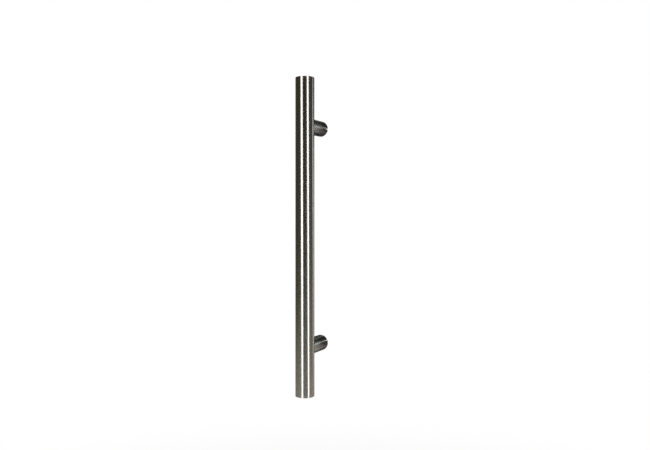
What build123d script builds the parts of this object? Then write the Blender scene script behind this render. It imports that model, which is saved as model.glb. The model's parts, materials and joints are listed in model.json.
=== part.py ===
from build123d import *
import os

# Gate pull handle: a round bar on two saddle-milled standoffs, with hidden fixings.
# X runs across the mounting face, Y goes into it and Z is up, along the bar.
# The origin lies on the mounting face, halfway between the two fixing holes.
# Sizes are in millimetres. A depth is a distance out from the mounting face, towards -Y.

# Bar
bar_diameter = 30.0
bar_wall = 2.0
bar_projection = 55.0  # from the mounting face to the bar's axis
bar_overhang = 75.0  # from each standoff's axis to the end of the bar
fixing_centres = 350.0  # between the standoffs' axes

# End caps
cap_head_thickness = 3.0
cap_edge_chamfer = 0.5
cap_spigot_length = 12.0

# Standoffs
standoff_diameter = 25.0
base_edge_chamfer = 0.8

# Base gaskets
gasket_thickness = 1.0
gasket_inset = 0.5  # from the standoff's edge

# Fixing bushes, tapped M8 for bolts that come from behind the mounting face
bush_diameter = 16.0
bush_length = 15.0
bush_tapping_diameter = 6.8
bush_groove_depth = 1.6
bush_groove_position = 7.5  # from the mounting face to the groove's middle
bush_flats_across = 13.0
bush_flats_length = 3.5

# Dog-point grub screws M6, one under each standoff
grub_thread_diameter = 6.0
grub_recess = 0.75  # below the standoff's surface
grub_point_diameter = 4.0
grub_point_length = 2.0
grub_socket_across = 3.0
grub_socket_share = 0.4  # of the screw's length

# Socket head clamp screws M6, from inside each standoff into the bar
clamp_thread_diameter = 6.0
clamp_head_diameter = 10.0
clamp_head_height = 6.0
clamp_socket_across = 5.0
clamp_socket_depth = 3.0
clamp_tip_stand = 2.0  # past the saddle nut
clamp_head_room = 1.0  # between the bush and the screw's head

# Washers under the clamp screws' heads
lock_washer_diameter = 9.9
lock_washer_thickness = 1.6
lock_washer_slit = 1.0
lock_washer_slit_angle = 20.0
flat_washer_diameter = 12.0
flat_washer_thickness = 1.6

# Saddle nuts, inside the bar
nut_width = 14.0
nut_height = 24.0
nut_thickness = 8.0
nut_corner_chamfer = 1.0

# Clearances, each on a radius
seat_clearance = 0.05  # between round faces that seat on each other
thread_clearance = 0.05  # round a screw in its thread
hole_clearance = 0.2  # round a screw in a plain hole or a washer
loose_clearance = 0.25  # round a bush in its gasket, or a grub screw's point in its groove

# Worked out from the sizes above
bar_radius = bar_diameter / 2
bar_bore_radius = bar_radius - bar_wall
bar_length = fixing_centres + 2 * bar_overhang
tube_length = bar_length - 2 * cap_head_thickness
standoff_radius = standoff_diameter / 2
bush_radius = bush_diameter / 2
bush_bore_radius = bush_radius + seat_clearance
clamp_radius = clamp_thread_diameter / 2
clamp_hole_radius = clamp_radius + hole_clearance
grub_radius = grub_thread_diameter / 2
grub_point_radius = grub_point_diameter / 2

# Depths along a standoff, from the mounting face outwards
clamp_head_depth = bush_length + clamp_head_room
lock_washer_depth = clamp_head_depth + clamp_head_height
flat_washer_depth = lock_washer_depth + lock_washer_thickness
clamp_seat_depth = flat_washer_depth + flat_washer_thickness
bar_back_depth = bar_projection - bar_radius
nut_face_depth = bar_back_depth + bar_wall + nut_thickness
clamp_tip_depth = nut_face_depth + clamp_tip_stand

# Radii along a grub screw, from the standoff's axis outwards
groove_bottom_radius = bush_radius - bush_groove_depth
grub_tip_reach = groove_bottom_radius + seat_clearance
grub_shoulder_reach = grub_tip_reach + grub_point_length
grub_end_reach = standoff_radius - grub_recess
grub_socket_depth = grub_socket_share * (grub_end_reach - grub_tip_reach)

standoff_heights = {"upper": fixing_centres / 2, "lower": -fixing_centres / 2}


def turned_on_y(profile):
    """A solid turned about the Y axis from a closed outline of (radius, depth) points."""
    points = [(radius, -depth) for radius, depth in profile]
    return revolve(make_face(Polyline(*points, close=True)), Axis.Y)


def turned_on_z(profile):
    """A solid turned about the Z axis from a closed outline of (radius, height) points."""
    return revolve(make_face(Plane.XZ * Polyline(*profile, close=True)), Axis.Z)


def plain_ring(outer_radius, inner_radius, near_depth, far_depth):
    """A flat ring about the Y axis, between two depths."""
    return turned_on_y([
        (inner_radius, near_depth),
        (outer_radius, near_depth),
        (outer_radius, far_depth),
        (inner_radius, far_depth),
    ])


def rod_on_y(radius, near_depth, far_depth):
    """A plain rod on the Y axis, between two depths."""
    return turned_on_y([(0, near_depth), (radius, near_depth), (radius, far_depth), (0, far_depth)])


def hexagon(across_flats):
    """The outline of a hexagon socket."""
    return RegularPolygon(across_flats / 2, 6, major_radius=False)


def make_grip_tube():
    """The bar's tube, with one hole for each clamp screw in its back wall."""
    tube = Cylinder(bar_radius, tube_length) - Cylinder(bar_bore_radius, tube_length)
    tube = Pos(0, -bar_projection, 0) * tube
    for height in standoff_heights.values():
        tube -= Pos(0, 0, height) * rod_on_y(clamp_hole_radius, 0, bar_projection)
    return tube


def make_top_end_cap():
    """A turned plug: a flat head flush with the tube, and a spigot that fills its bore."""
    top = bar_length / 2
    head_bottom = top - cap_head_thickness
    spigot_end = head_bottom - cap_spigot_length
    spigot_radius = bar_bore_radius - seat_clearance
    cap = turned_on_z([
        (0, top),
        (bar_radius - cap_edge_chamfer, top),
        (bar_radius, top - cap_edge_chamfer),
        (bar_radius, head_bottom),
        (spigot_radius, head_bottom),
        (spigot_radius, spigot_end),
        (0, spigot_end),
    ])
    return Pos(0, -bar_projection, 0) * cap


def make_standoff():
    """A turned and bored post, milled to the bar at its end and tapped from below."""
    post = turned_on_y([
        (bush_bore_radius, gasket_thickness),
        (standoff_radius - base_edge_chamfer, gasket_thickness),
        (standoff_radius, gasket_thickness + base_edge_chamfer),
        (standoff_radius, bar_projection),
        (clamp_hole_radius, bar_projection),
        (clamp_hole_radius, clamp_seat_depth),
        (bush_bore_radius, clamp_seat_depth),
    ])
    saddle = Cylinder(bar_radius + seat_clearance, 2 * standoff_diameter)
    post -= Pos(0, -bar_projection, 0) * saddle
    tapping = extrude(Circle(grub_radius + thread_clearance), standoff_diameter)
    return post - Pos(0, -bush_groove_position, -standoff_diameter) * tapping


def make_base_gasket():
    """A thin ring between the standoff and the mounting face."""
    inner_radius = bush_radius + loose_clearance
    return plain_ring(standoff_radius - gasket_inset, inner_radius, 0, gasket_thickness)


def make_fixing_bush():
    """A tapped bush with a groove for the grub screw and two flats for a spanner."""
    tapping_radius = bush_tapping_diameter / 2
    half_groove = grub_point_radius + loose_clearance
    bush = turned_on_y([
        (tapping_radius, 0),
        (bush_radius, 0),
        (bush_radius, bush_groove_position - half_groove),
        (groove_bottom_radius, bush_groove_position - half_groove),
        (groove_bottom_radius, bush_groove_position + half_groove),
        (bush_radius, bush_groove_position + half_groove),
        (bush_radius, bush_length),
        (tapping_radius, bush_length),
    ])
    corner = (Align.MIN, Align.MIN, Align.CENTER)
    flat = Box(bush_radius, bush_flats_length, bush_diameter, align=corner)
    for turn in (0, 180):
        bush -= Rot(0, turn, 0) * Pos(bush_flats_across / 2, -bush_length, 0) * flat
    return bush


def make_grub_screw():
    """A dog-point grub screw, up from under the standoff into the bush's groove."""
    screw = turned_on_z([
        (0, -grub_tip_reach),
        (grub_point_radius, -grub_tip_reach),
        (grub_point_radius, -grub_shoulder_reach),
        (grub_radius, -grub_shoulder_reach),
        (grub_radius, -grub_end_reach),
        (0, -grub_end_reach),
    ])
    socket = extrude(hexagon(grub_socket_across), grub_socket_depth)
    screw -= Pos(0, 0, -grub_end_reach) * socket
    return Pos(0, -bush_groove_position, 0) * screw


def make_clamp_screw():
    """A socket head screw, from inside the standoff through the bar's wall into the nut."""
    head_radius = clamp_head_diameter / 2
    screw = turned_on_y([
        (0, clamp_head_depth),
        (head_radius, clamp_head_depth),
        (head_radius, lock_washer_depth),
        (clamp_radius, lock_washer_depth),
        (clamp_radius, clamp_tip_depth),
        (0, clamp_tip_depth),
    ])
    socket = extrude(Plane.XZ * hexagon(clamp_socket_across), clamp_socket_depth)
    return screw - Pos(0, -clamp_head_depth, 0) * socket


def make_lock_washer():
    """A split spring washer, drawn flat as the tightened screw holds it."""
    ring = plain_ring(
        lock_washer_diameter / 2,
        clamp_hole_radius,
        lock_washer_depth,
        flat_washer_depth,
    )
    one_side = (Align.CENTER, Align.CENTER, Align.MIN)
    slit = Box(lock_washer_slit, lock_washer_diameter, lock_washer_diameter, align=one_side)
    middle_depth = (lock_washer_depth + flat_washer_depth) / 2
    return ring - Pos(0, -middle_depth, 0) * Rot(0, 0, lock_washer_slit_angle) * slit


def make_flat_washer():
    """A flat washer on the seat at the end of the standoff's bore."""
    return plain_ring(flat_washer_diameter / 2, clamp_hole_radius, flat_washer_depth, clamp_seat_depth)


def make_saddle_nut():
    """A tapped block in the bar, round on the side that lies against the bar's wall."""
    flat_side = nut_face_depth - bar_projection
    outline = Circle(bar_bore_radius - seat_clearance)
    outline &= Pos(0, -flat_side) * Rectangle(nut_width, bar_radius, align=(Align.CENTER, Align.MIN))
    flat_corners = outline.vertices().group_by(Axis.Y)[0]
    outline = chamfer(flat_corners, nut_corner_chamfer)
    nut = Pos(0, -bar_projection, 0) * extrude(outline, nut_height / 2, both=True)
    return nut - rod_on_y(clamp_radius + thread_clearance, bar_back_depth, bar_projection)


def make_handle():
    """Every piece of the handle by name, in its place."""
    top_end_cap = make_top_end_cap()
    pieces = {
        "grip_tube": make_grip_tube(),
        "top_end_cap": top_end_cap,
        "bottom_end_cap": mirror(top_end_cap, Plane.XY),
    }
    fixing_set = {
        "standoff": make_standoff(),
        "base_gasket": make_base_gasket(),
        "fixing_bush": make_fixing_bush(),
        "grub_screw": make_grub_screw(),
        "clamp_screw": make_clamp_screw(),
        "lock_washer": make_lock_washer(),
        "flat_washer": make_flat_washer(),
        "saddle_nut": make_saddle_nut(),
    }
    for side, height in standoff_heights.items():
        for name, piece in fixing_set.items():
            pieces[f"{side}_{name}"] = Pos(0, 0, height) * piece
    return pieces


os.makedirs("parts", exist_ok=True)
for name, piece in make_handle().items():
    export_step(piece, f"parts/{name}.step")
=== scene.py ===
import json
from math import atan2, cos, pi, radians, sin, sqrt, tan

import bpy
from mathutils import Euler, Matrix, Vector


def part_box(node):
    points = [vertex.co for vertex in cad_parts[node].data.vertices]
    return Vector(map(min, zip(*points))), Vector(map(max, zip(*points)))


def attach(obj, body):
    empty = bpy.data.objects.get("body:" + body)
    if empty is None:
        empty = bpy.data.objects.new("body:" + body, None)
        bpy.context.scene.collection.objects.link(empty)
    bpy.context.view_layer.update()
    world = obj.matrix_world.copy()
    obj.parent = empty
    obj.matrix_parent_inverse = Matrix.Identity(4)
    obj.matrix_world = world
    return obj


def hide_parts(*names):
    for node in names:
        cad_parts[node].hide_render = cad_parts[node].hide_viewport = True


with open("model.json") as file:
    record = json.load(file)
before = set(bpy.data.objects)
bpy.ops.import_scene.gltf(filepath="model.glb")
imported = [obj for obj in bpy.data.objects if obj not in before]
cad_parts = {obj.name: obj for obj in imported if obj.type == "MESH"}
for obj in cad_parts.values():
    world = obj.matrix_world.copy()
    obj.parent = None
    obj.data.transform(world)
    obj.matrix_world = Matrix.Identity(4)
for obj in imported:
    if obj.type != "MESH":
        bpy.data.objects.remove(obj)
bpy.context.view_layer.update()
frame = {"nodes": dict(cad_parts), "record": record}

# The mounting face is the plane y = 0, the handle stands out towards -Y, and Z is up
# along the bar. Sizes are in metres, and a depth is a distance out from that face.

# Sizes of the finish, which the solids leave plain
edge_round = 0.00015  # on the machined corners
seam_round = 0.00008  # where a cap meets the tube
cap_edge_round = 0.00045
gasket_bore_round = 0.0001
gasket_rim_round = 0.0002
bush_mouth = 0.0004  # the countersink at each end of the bush's thread
thread_pitch = 0.00125
thread_depth = 0.0006
thread_flat = 0.125  # the share of its depth that is cut off at the crest and the root
hole_mouth = 0.0003  # the countersink of the grub screw's hole
grub_edge = 0.0005  # the chamfer round the grub screw's socket
grub_socket_cone = 0.0008

# Sizes of the solids that their boxes don't tell
base_chamfer = 0.0008
saddle_clearance = 0.00005
clamp_hole = 0.0032
grub_hole = 0.00305
grub_socket = 0.003  # across its flats, and deep
grub_point_radius = 0.002
grub_point_length = 0.002
groove_half = 0.00225
bush_groove = 0.0016
flats_half = 0.0065
flats_length = 0.0035
thread_minor = 0.0034
gasket_bore = 0.00825

# Steps of the meshes
weld_steps = 1e7  # to a metre: corners that fall on the same step are one
turn_steps = 256
small_turn_steps = 96  # of a bush or a grub screw
arc_step = 18.0  # degrees of a small round in each of its facets
thread_steps = 10  # rows to each turn of the thread
saddle_rings = 6
saddle_start = 0.038  # the depth where a post's plain wall ends
hole_reach = 0.0042  # half of the band of a post's wall that the grub screw's hole is cut in
hole_half_steps = 20  # of the turn, on each side of the hole
hole_rows = 12
hole_rings = 4

# The camera, at the photograph's viewing angle
camera_place = (0.5186, -0.9628, 0.0353)
camera_turn = 28.0
camera_lens = 36.83  # millimetres, as is the sensor
camera_sensor = 36.0
camera_rise = -0.0165
camera_range = (0.01, 50.0)  # what it sees, from and to

# Lamps: azimuths run from -Y towards +X, in degrees
box_distance = 1.5
box_height = 4.0
box_rise = 0.5  # of a softbox's middle over the bar's
left_box = (-14.6, 5.6, -16.0)  # from and to, and its lean
right_box = (62.0, 78.8, -17.0)
box_radiance = 2.4
top_box_height = 2.4
top_box_size = 1.6
top_box_radiance = 2.0

# Curved cards that shade the reflections: from and to, tint, the foot's tint where it
# differs, and the lightness at some heights
flags = [
    (-130.0, -98.0, (1.0, 0.95, 0.80), None, ((-0.85, 0.40), (-0.30, 0.10))),
    (-98.0, -10.0, (1.0, 0.95, 0.66), None, ((-0.85, 0.30), (-0.30, 0.05))),
    (-10.0, 70.0, (1.0, 0.94, 0.62), None, ((-0.85, 0.12), (-0.30, 0.025))),
    (70.0, 129.0, (1.0, 0.96, 0.84), (1.0, 0.76, 0.52), (
        (-0.85, 0.40), (-0.45, 0.15), (-0.20, 0.09), (0.40, 0.08), (0.80, 0.02),
    )),
    (129.0, 144.0, (1.0, 0.93, 0.84), None, (
        (-0.85, 0.40), (-0.50, 0.55), (-0.25, 0.35), (-0.05, 0.07),
    )),
    (144.0, 161.0, (0.97, 1.0, 1.02), None, (
        (-0.85, 0.75), (-0.40, 0.80), (-0.05, 1.00), (0.22, 1.25), (0.50, 0.60), (0.90, 0.12),
    )),
    (161.0, 196.0, (1.0, 0.98, 0.94), None, (
        (-0.60, 0.60), (-0.30, 0.40), (0.05, 0.06), (0.40, 0.02),
    )),
]
flag_lean = -24.0  # degrees for each metre up
flag_lean_from = 70.0  # only the edges past this azimuth lean
flag_lean_top = 0.5  # and only up to this height
flag_distance = 1.6
flag_white = 1.5  # the lightness that a card's ramp counts as 1
flag_foot = 0.004  # over the floor
flag_top = 5.0
flag_rows = 60
flag_columns = 24

# The dark card behind the handle, and the small bright ones beside the standoffs' feet
back_card_width = 0.060
back_card_gap = 0.001  # behind the mounting face
back_card_opening = 0.0130
back_card_tint = (0.8, 0.95, 1.0)
back_card_level = 0.014
foot_card_gap = 0.0005  # behind the mounting face
foot_cards = [  # name, place, width and height, turn and level
    ("upper_glint_card", (0.0139, 0.1742), (0.0026, 0.0026), 0.0, 2.7),
    ("lower_glint_card", (0.0125, -0.1696), (0.0024, 0.0026), 0.0, 2.0),
    ("upper_streak_card", (0.0225, 0.1780), (0.0142, 0.0032), 19.0, 0.42),
    ("lower_streak_card", (0.0218, -0.1651), (0.0172, 0.0036), 27.0, 0.47),
]

# The floor and the world
floor_height = -0.95
floor_half = 12.0
floor_fade = (0.8, 2.2)  # how far from the handle the floor turns white
floor_white = 0.6  # how white it already is under the handle
floor_paint = 0.9
diffuse_level = 0.7  # of the world's light on matt surfaces

# Places read from the frame
tube_low, tube_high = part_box("grip_tube")
cap_low, cap_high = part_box("top_end_cap")
bar_radius = (tube_high.x - tube_low.x) / 2
bar_depth = -(tube_low.y + tube_high.y) / 2
bar_top = cap_high.z
tube_top = tube_high.z
tube_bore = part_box("upper_saddle_nut")[1].y + bar_depth + saddle_clearance
standoff_low, standoff_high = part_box("upper_standoff")
standoff_radius = (standoff_high.x - standoff_low.x) / 2
standoff_base = -standoff_high.y
standoff_place = (standoff_low.z + standoff_high.z) / 2
grub_low, grub_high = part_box("upper_grub_screw")
grub_depth = -(grub_low.y + grub_high.y) / 2
band_near, band_far = grub_depth - hole_reach, grub_depth + hole_reach


def rounded(outline, closed=True):
    """The runs of an outline of (radius, along, round) corners, each as two points with normals.

    The solid lies to the left of the way that the outline runs.
    """
    count = len(outline)
    spans = []
    for i in range(count):
        r, a, size = outline[i]
        here = Vector((r, a))
        if not closed and i in (0, count - 1):
            spans.append((here, here, []))
            continue
        before = Vector(outline[i - 1][:2])
        after = Vector(outline[(i + 1) % count][:2])
        into, out = (here - before).normalized(), (after - here).normalized()
        turn = atan2(into.x * out.y - into.y * out.x, into.dot(out))
        if size == 0 or abs(turn) < 1e-6:
            spans.append((here, here, []))
            continue
        reach = size * tan(abs(turn) / 2)
        start, end = here - into * reach, here + out * reach
        side = 1 if turn > 0 else -1
        centre = start + Vector((-into.y, into.x)) * size * side
        steps = max(3, round(abs(turn) / radians(arc_step)))
        arc = []
        for k in range(steps + 1):
            angle = turn * k / steps
            spoke = start - centre
            point = centre + Vector((
                spoke.x * cos(angle) - spoke.y * sin(angle),
                spoke.x * sin(angle) + spoke.y * cos(angle),
            ))
            arc.append((point, (point - centre).normalized() * side))
        spans.append((start, end, arc))
    runs = []
    for i in range(count if closed else count - 1):
        end, start = spans[i][1], spans[(i + 1) % count][0]
        if (start - end).length > 1e-9:
            along = (start - end).normalized()
            normal = Vector((along.y, -along.x))
            runs.append(((end, normal), (start, normal)))
        arc = spans[(i + 1) % count][2]
        runs += [(arc[k], arc[k + 1]) for k in range(len(arc) - 1)]
    return runs


def ring_angles(steps):
    return [2 * pi * j / steps for j in range(steps)]


def add_object(name, data, location=(0, 0, 0)):
    item = bpy.data.objects.new(name, data)
    item.location = location
    bpy.context.scene.collection.objects.link(item)
    return item


class Shell:
    """Faces with exact corner normals, welded where their corners meet."""

    def __init__(self):
        self.points = []
        self.places = {}
        self.faces = []
        self.normals = []

    def corner(self, point):
        key = tuple(round(c * weld_steps) for c in point)
        if key not in self.places:
            self.places[key] = len(self.points)
            self.points.append(tuple(point))
        return self.places[key]

    def face(self, corners):
        """corners is a list of (point, normal)."""
        indices, kept = [], []
        for point, normal in corners:
            index = self.corner(point)
            if index not in indices:
                indices.append(index)
                kept.append((Vector(point), Vector(normal)))
        if len(kept) < 3:
            return
        flat = Vector()
        for k in range(1, len(kept) - 1):
            flat += (kept[k][0] - kept[0][0]).cross(kept[k + 1][0] - kept[0][0])
        if flat.dot(sum((n for _, n in kept), Vector())) < 0:
            indices.reverse()
            kept.reverse()
        self.faces.append(indices)
        self.normals += [n.normalized() for _, n in kept]

    def sheet(self, rows):
        """Quads between rows of (point, normal), each row closed into a ring."""
        for low, high in zip(rows, rows[1:]):
            for j in range(len(low)):
                k = (j + 1) % len(low)
                self.face([low[j], low[k], high[k], high[j]])

    def turned(self, runs, place, steps=turn_steps):
        """Each run swept round an axis, where place(radius, along, angle) gives a point."""
        angles = ring_angles(steps)
        for run in runs:
            self.sheet([
                [(place(p.x, p.y, a), turn_normal(place, n, a)) for a in angles]
                for p, n in run
            ])

    def piece(self, name, material, slot, node, origin=(0, 0, 0)):
        """The finished piece, which stands for a node and rides where it does."""
        mesh = bpy.data.meshes.new(name)
        mesh.from_pydata(self.points, [], self.faces)
        mesh.shade_smooth()
        mesh.normals_split_custom_set([tuple(n) for n in self.normals])
        mesh.materials.append(material)
        piece = add_object(name, mesh, origin)
        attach(piece, "root")
        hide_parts(node)


def on_bar(radius, along, angle):
    return Vector((radius * cos(angle), -bar_depth + radius * sin(angle), along))


def on_post(radius, depth, angle):
    return Vector((radius * cos(angle), -depth, radius * sin(angle)))


def from_post(angle):
    """The way straight out from a post's axis."""
    return Vector((cos(angle), 0, sin(angle)))


def turn_normal(place, normal, angle):
    """A profile's normal, turned with the point that it belongs to."""
    return place(normal.x, normal.y, angle) - place(0, 0, angle)


def link(tree, source, target):
    tree.links.new(source, target)


def new_material(name):
    material = bpy.data.materials.new(name)
    material.use_nodes = True
    material.node_tree.nodes.clear()
    return material, material.node_tree


def add(tree, kind, **values):
    node = tree.nodes.new(kind)
    for key, value in values.items():
        setattr(node, key, value)
    return node


def set_inputs(node, **values):
    """Plain values for a node's inputs, by their names with _ for a space."""
    for key, value in values.items():
        node.inputs[key.replace("_", " ")].default_value = value


def maths(tree, operation, first, second=None, third=None):
    node = add(tree, "ShaderNodeMath", operation=operation)
    for socket, value in zip(node.inputs, (first, second, third)):
        if value is None:
            continue
        if isinstance(value, (int, float)):
            socket.default_value = value
        else:
            link(tree, value, socket)
    return node.outputs[0]


def distance(tree, first, second):
    """How far a point is from where two of its coordinates are zero."""
    squares = [maths(tree, "MULTIPLY", c, c) for c in (first, second)]
    return maths(tree, "SQRT", maths(tree, "ADD", *squares))


def object_axes(tree):
    """The three object coordinates, as sockets."""
    where = add(tree, "ShaderNodeTexCoord")
    split = add(tree, "ShaderNodeSeparateXYZ")
    link(tree, where.outputs["Object"], split.inputs[0])
    return split.outputs


def show(tree, shader, kind="ShaderNodeOutputMaterial"):
    link(tree, shader.outputs[0], add(tree, kind).inputs["Surface"])


def add_noise(tree, where, **values):
    noise = add(tree, "ShaderNodeTexNoise")
    set_inputs(noise, **values)
    link(tree, where, noise.inputs["Vector"])
    return noise.outputs[0]


def add_colour(tree, shader, value, low, high):
    """A base colour that runs with a value, between two (position, colour) stops."""
    ramp = add(tree, "ShaderNodeValToRGB")
    for stop, (position, colour) in zip(ramp.color_ramp.elements, (low, high)):
        stop.position = position
        stop.color = (*colour, 1)
    link(tree, value, ramp.inputs[0])
    link(tree, ramp.outputs[0], shader.inputs["Base Color"])


def add_bump(tree, shader, height, strength, depth):
    bump = add(tree, "ShaderNodeBump")
    set_inputs(bump, Strength=strength, Distance=depth)
    link(tree, height, bump.inputs["Height"])
    link(tree, bump.outputs[0], shader.inputs["Normal"])


def brushed(name, axis, centre, colour, roughness, anisotropy, line_size, streak_length):
    """Steel with fine marks that run round an axis, on its sides and on its ends."""
    coarse_size, coarse_length = 5, 1.6  # times a fine mark's
    patch_size = 1.4  # times a fine mark's length
    coarse_weight = 0.4  # of the coarse marks against the fine ones
    dark, light = 0.90, 1.07  # times the colour, in the marks' hollows and on their ridges
    roughness_spread = 0.05
    mark_strength, mark_depth = 0.5, 0.02  # the depth as a share of the marks' width
    material, tree = new_material(name)
    shader = add(tree, "ShaderNodeBsdfPrincipled")
    show(tree, shader)
    set_inputs(shader, Metallic=1.0, Anisotropic=anisotropy, Anisotropic_Rotation=0.25)
    tangent = add(tree, "ShaderNodeTangent", direction_type="RADIAL", axis=axis)
    link(tree, tangent.outputs[0], shader.inputs["Tangent"])

    x, y, z = object_axes(tree)
    if axis == "Z":
        across, along = (x, maths(tree, "SUBTRACT", y, centre)), z
    else:
        across, along = (x, z), y
    line = maths(tree, "ADD", along, distance(tree, *across))

    def marks(size, length, detail):
        """Noise drawn out round the axis: size is a mark's width and length its length."""
        joined = add(tree, "ShaderNodeCombineXYZ")
        for k in range(2):
            link(tree, maths(tree, "DIVIDE", across[k], length), joined.inputs[k])
        link(tree, maths(tree, "DIVIDE", line, size), joined.inputs[2])
        return add_noise(tree, joined.outputs[0], Scale=1.0, Detail=detail, Roughness=0.6)

    fine = marks(line_size, streak_length, detail=3.0)
    coarse = marks(line_size * coarse_size, streak_length * coarse_length, detail=2.0)
    patch = marks(streak_length * patch_size, streak_length, detail=1.0)

    weighed = maths(tree, "MULTIPLY", coarse, coarse_weight)
    mix = maths(tree, "ADD", maths(tree, "MULTIPLY", fine, 1 - coarse_weight), weighed)
    add_colour(
        tree, shader, mix,
        (0.28, [c * dark for c in colour]),
        (0.72, [min(c * light, 1) for c in colour]),
    )
    start, spread = -roughness_spread / 2, roughness_spread
    rough = maths(tree, "MULTIPLY_ADD", coarse, spread, roughness + start)
    rough = maths(tree, "ADD", rough, maths(tree, "MULTIPLY_ADD", patch, spread, start))
    link(tree, rough, shader.inputs["Roughness"])
    add_bump(tree, shader, mix, mark_strength, line_size * mark_depth)
    return material


def rubber(name):
    """Matt black rubber with a fine moulded grain and a little dust."""
    material, tree = new_material(name)
    shader = add(tree, "ShaderNodeBsdfPrincipled")
    show(tree, shader)
    set_inputs(shader, Specular_IOR_Level=0.35)
    where = add(tree, "ShaderNodeTexCoord").outputs["Object"]
    grain = add_noise(tree, where, Scale=2600.0, Detail=4.0)
    dust = add_noise(tree, where, Scale=240.0, Detail=3.0)
    add_colour(tree, shader, dust, (0.4, (0.018, 0.018, 0.019)), (0.8, (0.045, 0.044, 0.042)))
    rough = maths(tree, "MULTIPLY_ADD", grain, 0.2, 0.55)
    link(tree, rough, shader.inputs["Roughness"])
    add_bump(tree, shader, grain, strength=0.4, depth=0.00005)
    return material


steel_colour = (0.60, 0.585, 0.555)
bar_steel = brushed(
    "bar_steel", "Z", -bar_depth, steel_colour,
    roughness=0.195, anisotropy=1.0, line_size=0.00022, streak_length=0.016,
)
post_steel = brushed(
    "post_steel", "Y", 0, steel_colour,
    roughness=0.24, anisotropy=1.0, line_size=0.00018, streak_length=0.012,
)
fixing_steel = brushed(
    "fixing_steel", "Y", 0, (0.55, 0.54, 0.52),
    roughness=0.34, anisotropy=0.5, line_size=0.00015, streak_length=0.006,
)
gasket_rubber = rubber("gasket_rubber")


def make_tube():
    shell = Shell()
    shell.turned(rounded([
        (tube_bore, -tube_top, 0),
        (bar_radius, -tube_top, seam_round),
        (bar_radius, tube_top, seam_round),
        (tube_bore, tube_top, 0),
    ]), on_bar)
    shell.piece("bar_tube", bar_steel, "satin_steel", "grip_tube")


def make_cap(name, node, way):
    """A flush cap with its spigot, where way is 1 for the top one and -1 for the bottom one."""
    spigot = tube_bore - saddle_clearance
    outline = [
        (0, cap_low.z, 0),
        (spigot, cap_low.z, 0),
        (spigot, tube_top, 0),
        (bar_radius, tube_top, seam_round),
        (bar_radius, bar_top, cap_edge_round),
        (0, bar_top, 0),
    ]
    if way < 0:
        outline = [(r, -a, s) for r, a, s in reversed(outline)]
    shell = Shell()
    shell.turned(rounded(outline, closed=False), on_bar)
    shell.piece(name, bar_steel, "satin_steel", node)


def saddle_depth(x):
    """The depth at which a standoff meets the bar, at a distance from its middle."""
    reach = bar_radius + saddle_clearance
    return bar_depth - sqrt(reach * reach - x * x)


def pierced_band(shell, radius, outside, hole_radius):
    """A band of a round wall about the post's axis, with a round hole through it from below.

    Returns the points round the hole.
    """
    way = 1 if outside else -1
    angles = ring_angles(turn_steps)
    middle = turn_steps * 3 // 4
    depths = [band_near + (band_far - band_near) * k / hole_rows for k in range(hole_rows + 1)]

    def at(angle, depth):
        return on_post(radius, depth, angle), from_post(angle) * way

    for near, far in zip(depths, depths[1:]):
        for j in range(turn_steps):
            if middle - hole_half_steps <= j < middle + hole_half_steps:
                continue
            a0, a1 = angles[j], angles[(j + 1) % turn_steps]
            shell.face([at(a0, near), at(a1, near), at(a1, far), at(a0, far)])

    def on_wall(x, depth):
        z = -sqrt(radius * radius - x * x)
        return Vector((x, -depth, z)), Vector((x, 0, z)) * (way / radius)

    beside = range(middle - hole_half_steps, middle + hole_half_steps + 1)
    across = [radius * cos(angles[j]) for j in beside]
    border = [(x, band_near) for x in across[:-1]] + [(across[-1], d) for d in depths[:-1]]
    border += [(x, band_far) for x in reversed(across[1:])]
    border += [(across[0], d) for d in reversed(depths[1:])]
    turns = [atan2(depth - grub_depth, x) for x, depth in border]
    hole = [(hole_radius * cos(t), grub_depth + hole_radius * sin(t)) for t in turns]
    rings = []
    for k in range(hole_rings + 1):
        share = k / hole_rings
        rings.append([
            on_wall(b[0] + (h[0] - b[0]) * share, b[1] + (h[1] - b[1]) * share)
            for b, h in zip(border, hole)
        ])
    shell.sheet(rings)
    return [on_wall(*h)[0] for h in hole]


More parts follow.
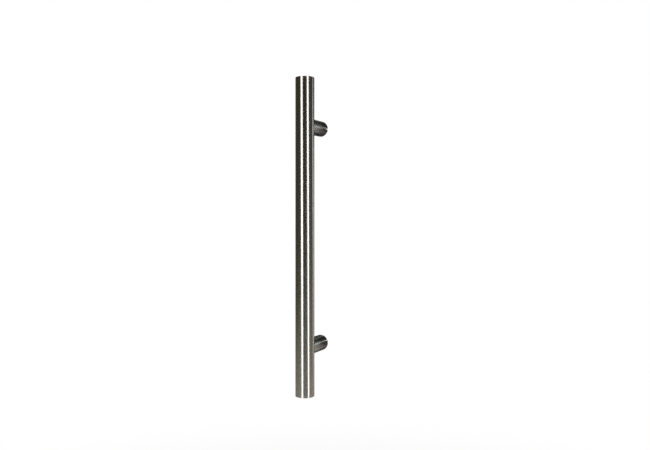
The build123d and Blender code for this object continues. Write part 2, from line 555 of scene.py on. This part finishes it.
def make_standoff(name, node, height):
    """A post with its bore, its saddle and the tapped hole for the grub screw."""
    shell = Shell()
    low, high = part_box("upper_fixing_bush")
    bore = (high.x - low.x) / 2 + saddle_clearance
    seat = -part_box("upper_flat_washer")[0].y
    shell.turned(rounded([
        (clamp_hole, seat, 0),
        (bore, seat, 0),
        (bore, band_far, 0),
    ], closed=False), on_post)
    shell.turned(rounded([
        (bore, band_near, 0),
        (bore, standoff_base, edge_round),
        (standoff_radius - base_chamfer, standoff_base, edge_round),
        (standoff_radius, standoff_base + base_chamfer, edge_round),
        (standoff_radius, band_near, 0),
    ], closed=False), on_post)
    shell.turned(rounded([
        (standoff_radius, band_far, 0),
        (standoff_radius, saddle_start, 0),
    ], closed=False), on_post)

    mouth = pierced_band(shell, standoff_radius, True, grub_hole + hole_mouth)
    inner = pierced_band(shell, bore, False, grub_hole)
    middle = Vector((0, -grub_depth, 0))
    inward = [Vector((middle.x - p.x, middle.y - p.y, 0)).normalized() for p in mouth]
    neck = [
        Vector((p.x + n.x * hole_mouth, p.y + n.y * hole_mouth, p.z + hole_mouth))
        for p, n in zip(mouth, inward)
    ]
    cone = [(n + Vector((0, 0, -1))).normalized() for n in inward]
    shell.sheet([list(zip(mouth, cone)), list(zip(neck, cone))])
    shell.sheet([list(zip(neck, inward)), list(zip(inner, inward))])

    angles = ring_angles(turn_steps)
    spokes = [from_post(a) for a in angles]

    def at_saddle(radius, normals):
        return [
            (on_post(radius, saddle_depth(radius * cos(a)), a), n)
            for a, n in zip(angles, normals)
        ]

    def towards_bar(radius):
        normals = []
        for a in angles:
            x = radius * cos(a)
            normals.append(Vector((-x, -(bar_depth - saddle_depth(x)), 0)).normalized())
        return normals

    shell.sheet([
        [(on_post(standoff_radius, saddle_start, a), n) for a, n in zip(angles, spokes)],
        at_saddle(standoff_radius, spokes),
    ])
    width = clamp_hole - standoff_radius
    radii = [standoff_radius + width * k / saddle_rings for k in range(saddle_rings + 1)]
    shell.sheet([at_saddle(r, towards_bar(r)) for r in radii])
    shell.sheet([
        at_saddle(clamp_hole, [-s for s in spokes]),
        [(on_post(clamp_hole, seat, a), -n) for a, n in zip(angles, spokes)],
    ])
    shell.piece(name, post_steel, "turned_steel", node, (0, 0, height))


def make_bush(name, node, height):
    """A bush with a cut thread, a groove for the grub screw and two flats."""
    low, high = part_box("upper_fixing_bush")
    outer, length = (high.x - low.x) / 2, high.y - low.y
    flats_start = length - flats_length
    groove = outer - bush_groove
    angles = ring_angles(small_turn_steps)
    shell = Shell()
    shell.turned(rounded([
        (thread_minor + bush_mouth, 0, 0),
        (outer, 0, bush_mouth),
        (outer, grub_depth - groove_half, edge_round),
        (groove, grub_depth - groove_half, 0),
        (groove, grub_depth + groove_half, 0),
        (outer, grub_depth + groove_half, edge_round),
        (outer, flats_start, 0),
    ], closed=False), on_post, small_turn_steps)

    def flats(depth, normal=None):
        """A ring round the flats, with the wall's own normals where none is given."""
        row = []
        for a in angles:
            reach = min(outer, flats_half / max(abs(cos(a)), 1e-6))
            if normal is not None:
                side = normal
            elif reach < outer:
                side = Vector((1 if cos(a) > 0 else -1, 0, 0))
            else:
                side = from_post(a)
            row.append((on_post(reach, depth, a), side))
        return row

    def thread_mouth(depth):
        return [
            (on_post(thread_minor + bush_mouth, depth, a), Vector((-cos(a), 1, -sin(a))))
            for a in angles
        ]

    end = Vector((0, -1, 0))
    shell.sheet([
        [(on_post(outer, flats_start, a), end) for a in angles],
        flats(flats_start, end),
    ])
    shell.sheet([flats(flats_start), flats(length)])
    shell.sheet([
        flats(length, end),
        [(on_post(thread_minor + bush_mouth, length, a), end) for a in angles],
    ])
    rows = [thread_mouth(length)]
    threaded = length - 2 * bush_mouth
    count = round(threaded / thread_pitch * thread_steps)
    slope = 2 * thread_depth / thread_pitch
    for k in range(count + 1):
        depth = length - bush_mouth - threaded * k / count
        row = []
        for a in angles:
            phase = (depth / thread_pitch + a / (2 * pi)) % 1
            rise = (1 + 2 * thread_flat) * (1 - abs(2 * phase - 1)) - thread_flat
            rise = min(max(rise, 0), 1)
            tilt = 0 if rise in (0, 1) else (slope if phase < 0.5 else -slope)
            row.append((
                on_post(thread_minor + thread_depth * rise, depth, a),
                Vector((-cos(a), -tilt, -sin(a))).normalized(),
            ))
        rows.append(row)
    rows.append(thread_mouth(0))
    shell.sheet(rows)
    shell.piece(name, fixing_steel, "fixing_steel", node, (0, 0, height))


def hexagon_side(angle):
    """The middle of the hexagon's side that an angle falls on."""
    return round(angle / radians(60)) * radians(60)


def make_grub_screw(name, node, height):
    """A dog-point grub screw, with its socket facing down."""
    shank = (grub_high.x - grub_low.x) / 2
    bottom, tip = grub_low.z - standoff_place, grub_high.z - standoff_place
    shoulder = tip - grub_point_length
    angles = ring_angles(small_turn_steps)

    def place(radius, along, angle):
        return Vector((radius * cos(angle), -grub_depth + radius * sin(angle), along))

    shell = Shell()
    shell.turned(rounded([
        (shank - grub_edge, bottom, edge_round),
        (shank, bottom + grub_edge, 0),
        (shank, shoulder, edge_round),
        (grub_point_radius, shoulder, 0),
        (grub_point_radius, tip, edge_round),
        (0, tip, 0),
    ], closed=False), place, small_turn_steps)

    def hexagon(level, normals):
        return [
            (place(grub_socket / 2 / cos(a - hexagon_side(a)), level, a), n)
            for a, n in zip(angles, normals)
        ]

    down = [Vector((0, 0, -1))] * small_turn_steps
    sides = [hexagon_side(a) for a in angles]
    inward = [-Vector((cos(s), sin(s), 0)) for s in sides]
    cone = [Vector((-0.5 * cos(a), -0.5 * sin(a), -1)) for a in angles]
    socket_end = bottom + grub_socket
    cone_tip = socket_end + grub_socket_cone
    shell.sheet([
        [(place(shank - grub_edge, bottom, a), n) for a, n in zip(angles, down)],
        hexagon(bottom, down),
    ])
    shell.sheet([hexagon(bottom, inward), hexagon(socket_end, inward)])
    shell.sheet([
        hexagon(socket_end, cone),
        [(place(0, cone_tip, a), n) for a, n in zip(angles, down)],
    ])
    shell.piece(name, fixing_steel, "fixing_steel", node, (0, 0, height))


def make_gasket(name, node, height):
    low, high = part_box("upper_base_gasket")
    outer, thickness = (high.x - low.x) / 2, high.y - low.y
    shell = Shell()
    shell.turned(rounded([
        (gasket_bore, 0, gasket_bore_round),
        (outer, 0, gasket_rim_round),
        (outer, thickness, gasket_rim_round),
        (gasket_bore, thickness, gasket_bore_round),
    ]), on_post)
    shell.piece(name, gasket_rubber, "gasket_rubber", node, (0, 0, height))


make_tube()
make_cap("bar_cap_top", "top_end_cap", 1)
make_cap("bar_cap_bottom", "bottom_end_cap", -1)
for side, height in (("upper", standoff_place), ("lower", -standoff_place)):
    make_standoff(f"{side}_post", f"{side}_standoff", height)
    make_gasket(f"{side}_gasket", f"{side}_base_gasket", height)
    make_bush(f"{side}_bush", f"{side}_fixing_bush", height)
    make_grub_screw(f"{side}_lock_screw", f"{side}_grub_screw", height)

finishes = {
    "fixing_steel": fixing_steel,
    "satin_steel": bar_steel,
    "turned_steel": post_steel,
    "gasket_rubber": gasket_rubber,
}
for subpart in frame["record"]["subparts"]:
    node = frame["nodes"][subpart["node"]]
    for slot in node.material_slots:
        slot.material = finishes[subpart["material_slot"]]


def add_camera():
    data = bpy.data.cameras.new("camera")
    data.sensor_fit = "HORIZONTAL"
    data.sensor_width = camera_sensor
    data.lens = camera_lens
    data.shift_y = camera_rise
    data.clip_start, data.clip_end = camera_range
    camera = add_object("camera", data, camera_place)
    camera.rotation_euler = (radians(90), 0, radians(camera_turn))
    bpy.context.scene.camera = camera


def round_bar(azimuth, reach, height=0.0):
    """A point round the bar, at an azimuth from -Y towards +X."""
    a = radians(azimuth)
    return Vector((reach * sin(a), -bar_depth - reach * cos(a), height))


def add_softbox(name, span):
    """A tall oval softbox that fills a span of azimuths, as the bar sees it.

    Only steel shows it, so that it leaves no patch of light on the floor.
    """
    first, last, lean = span
    middle, half = (first + last) / 2, (last - first) / 2
    data = bpy.data.lights.new(name, "AREA")
    data.shape = "ELLIPSE"
    data.size = 2 * box_distance * tan(radians(half))
    data.size_y = box_height
    data.energy = box_radiance * pi * data.size * data.size_y * pi / 4
    turn = Euler((radians(90), radians(lean), radians(middle)))
    place = round_bar(middle, box_distance) + turn.to_matrix() @ Vector((0, box_rise, 0))
    lamp = add_object(name, data, place)
    lamp.rotation_euler = turn
    lamp.visible_diffuse = False


def add_top_box():
    """A soft light from above, which gives the floor its shadow."""
    data = bpy.data.lights.new("top_softbox", "AREA")
    data.shape = "SQUARE"
    data.size = top_box_size
    data.energy = top_box_radiance * pi * top_box_size ** 2
    add_object("top_softbox", data, (0, -bar_depth, top_box_height))


def flat_mesh(name, half_width, low, high, upright=True):
    """A mesh of one face, upright and facing the camera's side, or else lying down."""
    corners = [(-half_width, low), (half_width, low), (half_width, high), (-half_width, high)]
    mesh = bpy.data.meshes.new(name)
    mesh.from_pydata([(a, 0, b) if upright else (a, b, 0) for a, b in corners], [], [(0, 1, 2, 3)])
    return mesh


def add_reflected(name, mesh, material, location=(0, 0, 0)):
    """A stage card that only reflections see."""
    mesh.materials.append(material)
    card = add_object(name, mesh, location)
    material.cycles.emission_sampling = "NONE"
    card.visible_camera = False
    card.visible_diffuse = False
    card.visible_transmission = False
    card.visible_volume_scatter = False
    card.visible_shadow = False
    return card


def flag_mesh(name, first, last):
    """A curved sheet between two azimuths, from just over the floor up."""
    low = floor_height + flag_foot
    points = []
    for i in range(flag_rows + 1):
        z = low + (flag_top - low) * i / flag_rows
        shift = flag_lean * min(z, flag_lean_top)
        start, end = [a + shift if a > flag_lean_from else a for a in (first, last)]
        for k in range(flag_columns + 1):
            azimuth = start + (end - start) * k / flag_columns
            points.append(tuple(round_bar(azimuth, flag_distance, z)))
    faces = []
    row = flag_columns + 1
    for i in range(flag_rows):
        for k in range(flag_columns):
            corner = i * row + k
            faces.append((corner, corner + 1, corner + row + 1, corner + row))
    mesh = bpy.data.meshes.new(name)
    mesh.from_pydata(points, [], faces)
    return mesh


def add_flag(name, first, last, tint, foot_tint, lightness):
    """A curved card whose lightness changes with height."""
    material, tree = new_material(name)
    shade = add(tree, "ShaderNodeEmission")
    show(tree, shade)
    set_inputs(shade, Strength=flag_white)
    height = add(tree, "ShaderNodeMapRange")
    set_inputs(height, From_Min=floor_height, From_Max=flag_top)
    link(tree, object_axes(tree)[2], height.inputs["Value"])
    ramp = add(tree, "ShaderNodeValToRGB")
    ramp.color_ramp.interpolation = "EASE"
    link(tree, height.outputs[0], ramp.inputs[0])
    link(tree, ramp.outputs[0], shade.inputs["Color"])
    stops = ramp.color_ramp.elements
    while len(stops) < len(lightness):
        stops.new(0.5)
    for stop, (z, _) in zip(stops, lightness):
        stop.position = (z - floor_height) / (flag_top - floor_height)
    tints = [foot_tint or tint] + [tint] * (len(lightness) - 1)
    for stop, stop_tint, (_, level) in zip(stops, tints, lightness):
        stop.color = (*[c * level / flag_white for c in stop_tint], 1)
    add_reflected(name, flag_mesh(name, first, last), material)


def add_back_card():
    """A dark strip behind the handle, open round the standoffs' feet."""
    material, tree = new_material("back_card")
    shade = add(tree, "ShaderNodeEmission")
    set_inputs(shade, Color=(*back_card_tint, 1), Strength=back_card_level)
    clear = add(tree, "ShaderNodeBsdfTransparent")
    x, _, z = object_axes(tree)
    up = maths(tree, "SUBTRACT", maths(tree, "ABSOLUTE", z), standoff_place)
    away = distance(tree, x, up)
    mix = add(tree, "ShaderNodeMixShader")
    link(tree, maths(tree, "GREATER_THAN", away, back_card_opening), mix.inputs[0])
    link(tree, clear.outputs[0], mix.inputs[1])
    link(tree, shade.outputs[0], mix.inputs[2])
    show(tree, mix)
    mesh = flat_mesh("back_card", back_card_width / 2, floor_height, flag_top)
    add_reflected("back_card", mesh, material, (0, back_card_gap, 0))


def add_foot_card(name, place, size, turn, level):
    """A small bright card beside a standoff's foot, for a glint or a streak on the post."""
    material, tree = new_material(name)
    shade = add(tree, "ShaderNodeEmission")
    set_inputs(shade, Strength=level)
    show(tree, shade)
    mesh = flat_mesh(name, size[0] / 2, -size[1] / 2, size[1] / 2)
    card = add_reflected(name, mesh, material, (place[0], foot_card_gap, place[1]))
    card.rotation_euler = (0, -radians(turn), 0)


def seen_or_mirrored(tree):
    """1 for what the camera sees, straight or by a gloss or through glass, and else 0."""
    path = add(tree, "ShaderNodeLightPath").outputs
    seen = maths(tree, "MAXIMUM", path["Is Camera Ray"], path["Is Glossy Ray"])
    return maths(tree, "MAXIMUM", seen, path["Is Transmission Ray"])


def add_world():
    """White where it is seen or mirrored, and a plain level as light on matt surfaces."""
    world = bpy.data.worlds.new("studio")
    bpy.context.scene.world = world
    world.use_nodes = True
    tree = world.node_tree
    tree.nodes.clear()
    background = add(tree, "ShaderNodeBackground")
    set_inputs(background, Color=(1, 1, 1, 1))
    seen = seen_or_mirrored(tree)
    strength = maths(tree, "MULTIPLY_ADD", seen, 1.0 - diffuse_level, diffuse_level)
    link(tree, strength, background.inputs["Strength"])
    show(tree, background, "ShaderNodeOutputWorld")


def add_floor():
    """A plain pale floor under the handle, white far off and keeping the shadow near it."""
    material, tree = new_material("floor")
    paint = add(tree, "ShaderNodeBsdfDiffuse")
    set_inputs(paint, Color=(floor_paint, floor_paint, floor_paint, 1))
    white = add(tree, "ShaderNodeEmission")
    set_inputs(white, Strength=1.0)
    where = add(tree, "ShaderNodeTexCoord")
    away = add(tree, "ShaderNodeVectorMath", operation="LENGTH")
    link(tree, where.outputs["Object"], away.inputs[0])
    fade = add(tree, "ShaderNodeMapRange", interpolation_type="SMOOTHSTEP")
    link(tree, away.outputs["Value"], fade.inputs["Value"])
    set_inputs(fade, From_Min=floor_fade[0], From_Max=floor_fade[1], To_Min=floor_white, To_Max=1.0)
    mix = add(tree, "ShaderNodeMixShader")
    link(tree, maths(tree, "MULTIPLY", seen_or_mirrored(tree), fade.outputs[0]), mix.inputs[0])
    link(tree, paint.outputs[0], mix.inputs[1])
    link(tree, white.outputs[0], mix.inputs[2])
    show(tree, mix)
    mesh = flat_mesh("floor", floor_half, -floor_half, floor_half, upright=False)
    mesh.materials.append(material)
    add_object("floor", mesh, (0, 0, floor_height))


add_camera()
add_softbox("left_softbox", left_box)
add_softbox("right_softbox", right_box)
add_top_box()
for number, flag in enumerate(flags):
    add_flag(f"flag_{number}", *flag)
add_back_card()
for foot_card in foot_cards:
    add_foot_card(*foot_card)
add_world()
add_floor()
bpy.context.scene.view_settings.view_transform = "Standard"
